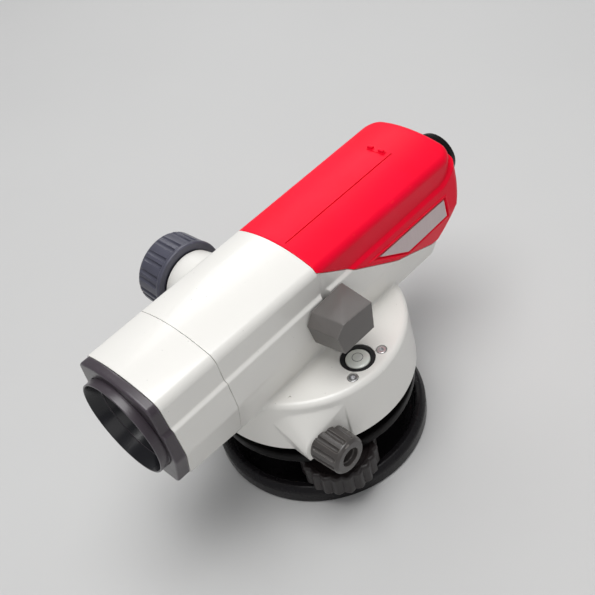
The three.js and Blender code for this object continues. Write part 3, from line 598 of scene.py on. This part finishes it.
front = field("objective_housing_shell", lambda X, Y, Z: np.maximum(
    smax(smax(telescope(X, Y, Z), raked(Y, Z, FRONT_Y), 0.25), -raked(Y, Z, SEAM_Y - 0.12), 0.25),
    23.2 - np.sqrt(X * X + (Z - AXIS_Z) ** 2)), (-31, -104, 71), (31, -63, 139), 0.5)
put(front, WHITE, "alidade", "objective_housing")


def bezel(X, Y, Z):
    back = raked(Y, Z, FRONT_Y) * -1 + 0.25
    fr = (FRONT_Y - 5.0 + 0.012 * (TOP_Z - Z)) - Y
    f = telescope(X * 1.012, np.maximum(Y, FRONT_Y), AXIS_Z + (Z - AXIS_Z) * 1.012) + 0.15
    f = smax(smax(f, fr, 1.1), back, 0.2)
    rr = np.sqrt(X * X + (Z - AXIS_Z) ** 2)
    return cut(f, rr - 25.9, 0.3)


put(field("objective_bezel_shell", bezel, (-31, -110, 71), (31, -96, 139), 0.5), BEZEL, "alidade", "objective_bezel")

# hood: flared inside, stepped outside, with the cell's stepped bore behind it
hood = turned("lens_hood_bell", "y", rounded([(25.6, -100.4), (25.6, -105.6), (25.1, -106.0), (25.8, -106.4), (25.8, -111.0, 0.4), (25.0, -111.0, 0.35), (22.9, -104.3, 0.2), (22.5, -104.1), (22.5, -100.4)], 0.25), 160, (0, 0, AXIS_Z))
put(hood, BEZEL, "alidade", "lens_hood")
# Faces on the hood's inner flare get the darker inner material: painted shade inside the hood, over its black finish.
hood.data.materials.append(INNER)
for p in hood.data.polygons:
    c = p.center
    if p.normal.x * c.x + p.normal.z * (c.z - AXIS_Z * MM) < 0 and c.y < (-104.2 - YC) * MM:
        p.material_index = 1
cellp = [(22.3, -103.9), (22.3, -76), (19.2, -76), (19.2, -97.4), (18.0, -97.7), (18.0, -98.3), (18.6, -98.5), (19.6, -98.5), (20.3, -98.8), (20.6, -98.9), (22.2, -103.9)]
put(turned("objective_cell_stepped", "y", cellp, 144, (0, 0, AXIS_Z), 20), INNER, "alidade", "objective_cell")
lens = turned("objective_lens_glass", "y", [(0, -99.6)] + [(18.6 * math.sin(a), -99.6 + 30 * (1 - math.sqrt(1 - (18.6 / 30 * math.sin(a)) ** 2)) * 0.45) for a in np.linspace(0.08, math.pi / 2, 16)] + [(18.6, -91.5), (0, -90.5)], 128, (0, 0, AXIS_Z))
put(lens, LENS, "alidade", "objective_lens")


# =====================================================================
# Red cover, its plate and the open sight
# =====================================================================
PLATE_YZ = [(36.4, 108.8), (89.0, 107.8), (90.4, 95.8), (57.9, 95.5)]


def poly_field(Y, Z, pts):
    """Distance outside a convex outline in (y, z)."""
    f = None
    c = np.mean(pts, axis=0)
    for i in range(len(pts)):
        (y0, z0), (y1, z1) = pts[i], pts[(i + 1) % len(pts)]
        ny, nz = z1 - z0, -(y1 - y0)
        L = math.hypot(ny, nz)
        ny, nz = ny / L, nz / L
        if (c[0] - y0) * ny + (c[1] - z0) * nz > 0:
            ny, nz = -ny, -nz
        g = (Y - y0) * ny + (Z - z0) * nz
        f = g if f is None else np.maximum(f, g)
    return f


def cover(X, Y, Z):
    tel = telescope(X, Y, Z)
    f = smax(tel, cover_region(Y, Z) + 0.16, 0.35)
    # recess with a raised lip on the right flank
    pf = poly_field(Y, Z, PLATE_YZ)
    lip = np.abs(pf - 1.7) - 0.45
    f = smin(f, np.maximum(np.maximum(lip, tel - 0.32), 20 - X), 0.3)
    f = cut(f, np.maximum(pf - 0.9, 28.0 - X), 0.2)
    # fine seam along the top
    sl = np.maximum(np.maximum(np.abs(X - 5.8) - 0.32, 135.2 - Z), np.maximum(-1.0 - Y, Y - 78.5))
    f = np.maximum(f, -sl)
    # hollow inside
    f = np.maximum(f, -np.maximum(tel + 2.5, -Z + 70))
    rr = np.sqrt(X * X + (Z - AXIS_Z) ** 2)
    return np.maximum(f, np.where(Y > 60, 13.3 - rr, -5.0))


put(field("top_cover_shell", cover, (-31, -6, 77), (31, 107, 139), 0.45), RED, "alidade", "top_cover")


def plate(X, Y, Z):
    pf = poly_field(Y, Z, PLATE_YZ)
    return smax(smax(pf + 0.1, X - 28.75, 0.25), 28.1 - X, 0.1)


put(field("side_plate_blank", plate, (27, 34, 93), (30, 93, 111), 0.3), PLATE, "alidade", "side_plate")


def sight(X, Y, Z):
    ground = np.sqrt(X * X + (Z - 66.4) ** 2) - 70
    bar = np.maximum(np.maximum(np.abs(X + 2.6) - 5.6, np.abs(Y - 76.4) - 1.5), np.maximum(ground - 0.45, 0.08 - ground))
    post = lambda x0: smax(smax(np.abs(X - x0) - 1.7, np.abs(Y - 76.4) - 1.3 + (Z - 136) * 0.25, 0.4), np.maximum(ground - 1.7, 0.08 - ground), 0.4)
    f = np.minimum(bar, np.minimum(post(-6.3), post(0.8)))
    dot = np.sqrt((X - 0.8) ** 2 + (Y - 74.9) ** 2 + (Z - 137.6) ** 2) - 0.55
    return np.maximum(f, -dot)


put(field("open_sight_posts", sight, (-10, 73, 134), (4, 80, 140), 0.22), RED, "alidade", "open_sight")

# =====================================================================
# Vial, its prism and the adjusting screws
# =====================================================================
CASE = hull_planes([(28.5, 8.2, 115.5), (28.5, -13.8, 114.4), (28.5, -18.3, 108.1), (28.5, -15.7, 94.2), (28.5, 6.6, 95.0),
                    (48.3, 7.7, 113.0), (48.3, -11.9, 115.0), (48.3, -17.5, 110.1), (48.3, -14.4, 97.0), (48.3, 6.7, 96.5)])


def prism_case(X, Y, Z):
    f = smax(hull_field(CASE, X, Y, Z, 0.3), 29.5 - X, 0.3)
    inner = np.maximum(np.maximum(np.maximum(Z - 111.6, Y - 12), (-11.0 - Y) * 0.95 + (108 - Z) * 0.0), np.abs(X - 38.9) - 7.2)
    win_low = np.maximum(Y - 5.0, 90 - Z)
    win_rear = np.maximum(98.2 - Z, -10.5 - Y)
    inner = np.maximum(inner, np.minimum(win_low, win_rear))
    return cut(f, inner, 0.25)


put(field("vial_prism_case", prism_case, (28, -20, 93), (50, 10, 117), 0.36), GREY, "alidade", "vial_prism_housing")

vial_ring = turned("vial_holder_cup", "z", rounded([(0, 69.7), (8.7, 69.7), (8.7, 77.7, 0.3), (6.9, 77.7, 0.35), (6.6, 77.2), (6.6, 71.3), (0, 71.3)], 0.15), 96, (VX, VY, 0))


def vial_ears(X, Y, Z):
    a = np.arctan2(Y - VY, X - VX)
    rv = np.sqrt((X - VX) ** 2 + (Y - VY) ** 2)
    f = rv - 8.2
    for d in SCREW_A.values():
        ca, sa = math.cos(math.radians(d)), math.sin(math.radians(d))
        u, w = (X - VX) * ca + (Y - VY) * sa, -(X - VX) * sa + (Y - VY) * ca
        f = smin(f, np.sqrt(np.maximum(u - 12.4, 0) ** 2 + np.minimum(u - 4, 0) ** 2 + w * w) - 3.0, 1.0)
    f = smax(smax(f, Z - 73.8, 0.3), 71.6 - Z, 0.3)
    f = np.maximum(f, 8.75 - rv)
    for d in SCREW_A.values():
        sx, sy = VX + 12.6 * math.cos(math.radians(d)), VY + 12.6 * math.sin(math.radians(d))
        f = np.maximum(f, 1.8 - np.sqrt((X - sx) ** 2 + (Y - sy) ** 2))
    return f


ears = field("vial_holder_ears", vial_ears, (24, -20, 70), (60, 16, 75.5), 0.5)
put(vial_ring, MATT, "alidade", "vial_holder")
put(ears, MATT, "alidade", "vial_holder")
dome = [(0, 71.6), (6.3, 71.6), (6.3, 77.0)] + [(6.3 * math.cos(a), 77.0 + 1.5 * math.sin(a)) for a in np.linspace(0.1, math.pi / 2 - 0.02, 16)] + [(0, 78.5)]
put(turned("circular_vial_dome", "z", dome, 96, (VX, VY, 0), 60), FLUID, "alidade", "circular_vial")


def on_dome(r):
    return 77.0 + 1.5 * math.sqrt(max(0.0, 1 - (r / 6.3) ** 2))


put(turned("vial_centre_ring", "z", [(2.55, on_dome(2.55) - 0.1), (2.85, on_dome(2.85) - 0.1), (2.85, on_dome(2.85) + 0.02), (2.7, on_dome(2.7) + 0.05), (2.55, on_dome(2.55) + 0.02)], 72, (VX, VY, 0)), VIAL_MARK, "alidade", None)
bub = [(0, on_dome(0) - 0.1), (1.75, on_dome(1.75) - 0.1), (1.75, on_dome(1.75) + 0.03), (1.2, on_dome(0.9) + 0.08), (0.6, on_dome(0.4) + 0.1), (0, on_dome(0) + 0.1)]
put(turned("vial_bubble", "z", bub, 48, (VX + 0.7, VY + 0.5, 0), 60), BUBBLE, "alidade", None)

for nm, d in SCREW_A.items():
    sx, sy = VX + 12.6 * math.cos(math.radians(d)), VY + 12.6 * math.sin(math.radians(d))

    def screw(X, Y, Z, sx=sx, sy=sy, ang=math.radians(d * 1.7)):
        rs = np.sqrt((X - sx) ** 2 + (Y - sy) ** 2)
        f = smax(smax(rs - 2.45, Z - 77.9, 0.4), 76.1 - Z, 0.1)
        f = np.minimum(f, np.maximum(np.maximum(rs - 1.4, Z - 77), 70.7 - Z))
        # hexagon socket
        hx = None
        for k in range(3):
            g = np.abs((X - sx) * math.cos(ang + k * math.pi / 3) + (Y - sy) * math.sin(ang + k * math.pi / 3)) - 1.05
            hx = g if hx is None else np.maximum(hx, g)
        return cut(f, np.maximum(hx, 76.6 - Z), 0.12)

    put(field("vial_screw_" + nm + "_turned", screw, (sx - 3.2, sy - 3.2, 70), (sx + 3.2, sy + 3.2, 78.6), 0.16), STEEL, "alidade", "vial_screw_" + nm)

# =====================================================================
# Knobs
# =====================================================================


def slots(rr, a, H, n, radius, depth_r, h0, h1, phase=0.0):
    """Round-ended grooves round a knob: field of the groove solids."""
    s = 2 * math.pi / n
    aa = (a + phase + s / 2) % s - s / 2
    w = rr * np.sin(aa)
    u = rr * np.cos(aa) - depth_r
    hc = H - np.clip(H, h0, h1)
    return np.sqrt(w * w + u * u + hc * hc) - radius


def tangent_knob(side):
    def f(X, Y, Z):
        H = X * side
        y, z = Y - TAN_Y, Z - TAN_Z
        rr, a = np.sqrt(y * y + z * z), np.arctan2(z, y)
        body = 10.5 - 0.55 * np.clip((H - 48.0) / 14.0, 0, 1)
        k = smax(smax(rr - body, H - 62.6, 0.5), 45.4 - H, 0.6)
        k = smax(k, (rr - body) * 0.7 + (H - 61.3) * 0.7, 0.3)
        k = cut(k, slots(rr - body + 10.5, a, H, 12, 1.35, 10.75, 47.6, 59.4), 0.25)
        k = np.maximum(k, 2.8 - np.where(H < 57, rr, 99))
        hole = np.maximum(rr - 5.3, 60.6 - H)
        hole2 = np.maximum(rr - 4.1, 56.8 - H)
        return cut(cut(k, hole, 0.3), hole2, 0.3)
    lo = (44.6, TAN_Y - 11.5, TAN_Z - 11.5) if side > 0 else (-63.4, TAN_Y - 11.5, TAN_Z - 11.5)
    hi = (63.4, TAN_Y + 11.5, TAN_Z + 11.5) if side > 0 else (-44.6, TAN_Y + 11.5, TAN_Z + 11.5)
    nm = "right" if side > 0 else "left"
    put(field("tangent_knob_" + nm + "_moulding", f, lo, hi, 0.26), TANGENT, "tangent_screw", "tangent_knob_" + nm)


tangent_knob(1)
tangent_knob(-1)


def focus_knob(X, Y, Z):
    H = -X
    y, z = Y - FOC_Y, Z - FOC_Z
    rr, a = np.sqrt(y * y + z * z), np.arctan2(z, y)
    taper = 20.25 - 0.65 * np.clip((H - 44.8) / 14.0, 0, 1)
    k = smax(smax(rr - taper, H - 60.3, 1.9), 42.4 - H, 0.4)
    k = cut(k, slots(rr, a, H, 12, 1.15, 20.1, 45.7, 70, 0.10), 0.2)
    k = cut(k, slots(rr, a, H, 12, 1.15, 20.1, 45.7, 70, -0.10), 0.2)
    k = smin(k, smax(smax(rr - 20.6, H - 44.7, 0.8), 42.2 - H, 0.8), 0.3)
    k = cut(k, np.maximum(rr - 14.2 + (60 - H) * 0.5, 58.2 - H), 0.5)
    k = np.maximum(k, np.where(H < 56, 3.3 - rr, -9.0))
    back = np.maximum(rr - 16.4, H - 44.0)
    return cut(k, np.maximum(back, 6.2 - rr), 0.3)


put(field("focus_knob_moulding", focus_knob, (-61, FOC_Y - 22, FOC_Z - 22), (-41, FOC_Y + 22, FOC_Z + 22), 0.40), KNOB, "focus_drive", "focus_knob")

FOOT_A = {"right": -33, "left": 207, "rear": 87}
for nm, d in FOOT_A.items():
    fx, fy = 47.4 * math.cos(math.radians(d)), 47.4 * math.sin(math.radians(d))

    def foot(X, Y, Z, fx=fx, fy=fy, d=math.radians(d)):
        x, y = X - fx, Y - fy
        rr, a = np.sqrt(x * x + y * y), np.arctan2(y, x) - d
        lobe = 20.8 - 1.4 * (1 - np.abs(np.cos(10 * a))) ** 0.8
        k = smax(smax((rr - lobe) * 0.90, Z - 28.35, 1.5), 14.4 - Z, 1.5)
        dish = np.maximum(np.abs(rr - 11.5) - 5.0, 27.5 - Z)
        k = cut(k, dish, 0.5)
        return np.maximum(k, 3.3 - rr)

    put(field("foot_screw_knob_" + nm + "_moulding", foot, (fx - 22, fy - 22, 13.4), (fx + 22, fy + 22, 29.4), 0.45), FOOT, "foot_screw_" + nm, "foot_screw_knob_" + nm)
    prof = [(0, 3.5)] + [(3.9 * math.sin(t), 7.4 - 3.9 * math.cos(t)) for t in np.linspace(0.25, 2.25, 10)] + [(3.0, 10.4), (3.0, 30.0)]
    zz = 30.0
    while zz < 36.8:
        prof += [(3.0, zz), (2.7, zz + 0.3)]
        zz += 0.75
    prof += [(2.6, 37.4), (0, 37.6)]
    put(turned("foot_screw_stud_" + nm + "_turned", "z", prof, 48, (fx, fy, 0), 25), STEEL, "foot_screw_" + nm, "foot_screw_stud_" + nm)

# =====================================================================
# Base plate, tribrach and circle
# =====================================================================
bp = rounded([(8.0, 0.0, 0.4), (57.5, 0.0, 0.3), (59.2, 0.0, 0.3), (60.0, 1.0, 0.8), (60.0, 8.2, 3.2), (57.6, 11.0, 2.2), (54.3, 11.0, 0.9), (53.1, 3.2, 2.0), (16.5, 3.2, 1.5), (15.0, 9.0, 0.6), (8.9, 9.0, 0.3), (8.0, 8.2, 0.3)], 0.3, 6)
prof = bp
base = turned("base_plate_dish", "z", prof, 192, (0, 0, 0), 35)
put(base, BASE, "base", "base_plate")


def tribrach(X, Y, Z):
    r = np.sqrt(X * X + Y * Y)
    f = smax(smax(r - 56, Z - 37.2, 1.2), 31.4 - Z, 1.2)
    hub = smax(smax(r - 21, 28.4 - Z, 0.8), Z - 36, 0.5)
    f = smin(f, hub, 1.5)
    for d in FOOT_A.values():
        rs = np.sqrt((X - 47.4 * math.cos(math.radians(d))) ** 2 + (Y - 47.4 * math.sin(math.radians(d))) ** 2)
        f = cut(f, rs - 6.3, 0.4)
    # weight-saving pockets between the screws
    a = np.arctan2(Y, X) - math.radians(27)
    s = 2 * math.pi / 3
    aa = (a + s / 2) % s - s / 2
    pk = np.maximum(np.maximum(np.abs(r - 39) - 9, np.abs(aa) * r - 20), Z - 34.2)
    f = cut(f, pk, 1.0)
    return np.maximum(f, 14.3 - r)


put(field("tribrach_casting", tribrach, (-58, -58, 27.5), (58, 58, 38.5), 1.0), TRIBRACH, "tribrach", "tribrach_plate")

cp = rounded([(14.3, 41.3), (43.8, 41.3), (45.0, 39.8), (52.8, 39.8), (53.4, 40.4), (53.4, 44.2), (52.3, 45.3), (14.3, 45.3)], 0.4, 4)
put(turned("horizontal_circle_ring", "z", cp, 192, (0, 0, 0), 30), CIRCLE, "horizontal_circle", "horizontal_circle")


def spring(X, Y, Z):
    r = np.sqrt(X * X + Y * Y)
    a = np.arctan2(Y, X)
    f = r - 27
    for d in FOOT_A.values():
        ca, sa = math.cos(math.radians(d)), math.sin(math.radians(d))
        u, w = X * ca + Y * sa, -X * sa + Y * ca
        arm = np.maximum(np.maximum(np.abs(w) - (8.0 - 0.03 * u), u - 50), -u)
        f = smin(f, arm, 5)
    f = smax(f, Z - 12.0, 0.2)
    f = smax(f, 10.6 - Z, 0.2)
    for d in FOOT_A.values():
        ca, sa = math.cos(math.radians(d)), math.sin(math.radians(d))
        u, w = X * ca + Y * sa, -X * sa + Y * ca
        f = np.maximum(f, -np.minimum(np.sqrt((u - 47.4) ** 2 + w * w) - 4.4, np.maximum(np.abs(w) - 3.6, 47.4 - u)))
    return np.maximum(f, 17.5 - r)


put(field("spring_plate_pressing", spring, (-53, -53, 9.6), (53, 53, 13.0), 0.5), STEEL, "spring_plate", "spring_plate")

# =====================================================================
# Eyepiece
# =====================================================================


def eyepiece(X, Y, Z):
    rr, a = np.sqrt(X * X + (Z - AXIS_Z) ** 2), np.arctan2(Z - AXIS_Z, X)
    prof = np.interp(Y, [106, 107.6, 113.6, 114.4, 117.2, 120.6, 121.8], [15.3, 15.5, 15.2, 14.2, 13.8, 12.6, 11.4])
    f = smax(smax(rr - prof, 107.0 - Y, 0.4), Y - 121.8, 0.8)
    f = cut(f, slots(rr, a, Y, 36, 0.42, 15.35, 108.4, 112.8), 0.12)
    bore = np.where(Y < 110.4, 12.9, 10.2)
    f = np.maximum(f, bore - rr)
    return f


def eyepiece2(X, Y, Z):
    rr = np.sqrt(X * X + (Z - AXIS_Z) ** 2)
    cup = np.maximum(rr - np.interp(Y, [120.4, 121.9], [8.6, 9.6]), 120.2 - Y)
    f = eyepiece(X, Y, Z)
    lip = np.maximum(np.maximum(rr - 10.6, np.interp(Y, [117.2, 120.4, 121.9], [10.2, 8.6, 9.4]) - rr), np.maximum(117.3 - Y, Y - 121.4))
    return cut(np.minimum(f, lip), cup, 0.3)


put(field("eyepiece_ring_moulding", eyepiece2, (-17, 105.8, AXIS_Z - 17), (17, 123, AXIS_Z + 17), 0.34), CIRCLE, "eyepiece_ring", "eyepiece_ring")

# =====================================================================
# CAD nodes that stay, with their own materials
# =====================================================================
KEEP = {
    "foot_screw_bush_right": BRASS, "foot_screw_bush_left": BRASS, "foot_screw_bush_rear": BRASS, "axis_socket": BRASS, "worm_wheel": BRASS,
    "housing_bottom_plate": BASE, "spindle": STEEL, "vial_prism": LENS, "tangent_bush_right": BRASS, "tangent_bush_left": BRASS,
    "focus_bush": BRASS, "compensator_frame": ALLOY, "damper_cup": BRASS, "suspension_ribbon_right": STEEL, "suspension_ribbon_left": STEEL,
    "roof_prism": LENS, "roof_prism_seat": ALLOY, "reticle_ring": BRASS, "reticle_glass": LENS, "eyepiece_mount": MATT, "tangent_worm_shaft": STEEL,
    "focus_shaft": STEEL, "focus_pinion": BRASS, "focus_lens_cell": MATT, "focus_lens": LENS, "focus_rack": BRASS,
    "compensator_pendulum": ALLOY, "pendulum_prism": LENS, "eyepiece_cell": MATT, "eyepiece_lens": LENS,
}
for nm, mt in KEEP.items():
    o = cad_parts[nm]
    if not o.material_slots:
        o.data.materials.append(mt)
    for s in o.material_slots:
        s.link = "OBJECT"
        s.material = mt

# =====================================================================
# Camera, floor and light
# =====================================================================
R = Vector((0.718659, 0.673446, -0.173204))
U = Vector((-0.395526, 0.600758, 0.694729))
B = Vector((0.571916, -0.430767, 0.698106))
cam_data = bpy.data.cameras.new("photo_camera")
cam = bpy.data.objects.new("photo_camera", cam_data)
bpy.context.scene.collection.objects.link(cam)
m = Matrix((R, U, B)).transposed().to_4x4()
m.translation = Vector((0.275399, -0.204820 - YC * MM, 0.429159))
cam.matrix_world = m
cam_data.sensor_width = 36
cam_data.lens = 57.19
cam_data.clip_start = 0.01
bpy.context.scene.camera = cam

floor = object_of("floor", [(-3000, -3000, -0.05), (3000, -3000, -0.05), (3000, 3000, -0.05), (-3000, 3000, -0.05)], [[0, 1, 2, 3]])
FLOOR = material("floor_paper", (0.60, 0.598, 0.59), 0.75, var=0.01, var_scale=6, rough_var=0.03, bump=0.02, bump_scale=500)
floor.data.materials.append(FLOOR)


def area(name, loc, target, size, power, color=(1, 1, 1)):
    d = bpy.data.lights.new(name, "AREA")
    d.shape = "RECTANGLE"
    d.size, d.size_y = size
    d.energy = power
    d.color = color
    o = bpy.data.objects.new(name, d)
    bpy.context.scene.collection.objects.link(o)
    o.location = loc
    o.rotation_euler = (Vector(target) - Vector(loc)).to_track_quat("-Z", "Y").to_euler()
    return o


area("key", (0.05, -0.08, 1.20), (0, 0, 0.06), (0.75, 0.75), 10.0)
area("fill", (1.0, -0.7, 0.8), (0, 0, 0.06), (0.8, 0.8), 1.6, (1.0, 0.985, 0.97))
area("rim", (-0.72, 0.62, 0.86), (0, 0, 0.08), (0.75, 0.55), 3.4)
w = bpy.data.worlds.new("studio")
bpy.context.scene.world = w
w.use_nodes = True
w.node_tree.nodes["Background"].inputs[0].default_value = (0.95, 0.965, 1.0, 1)
w.node_tree.nodes["Background"].inputs[1].default_value = 0.32
bpy.context.scene.view_settings.view_transform = "Standard"
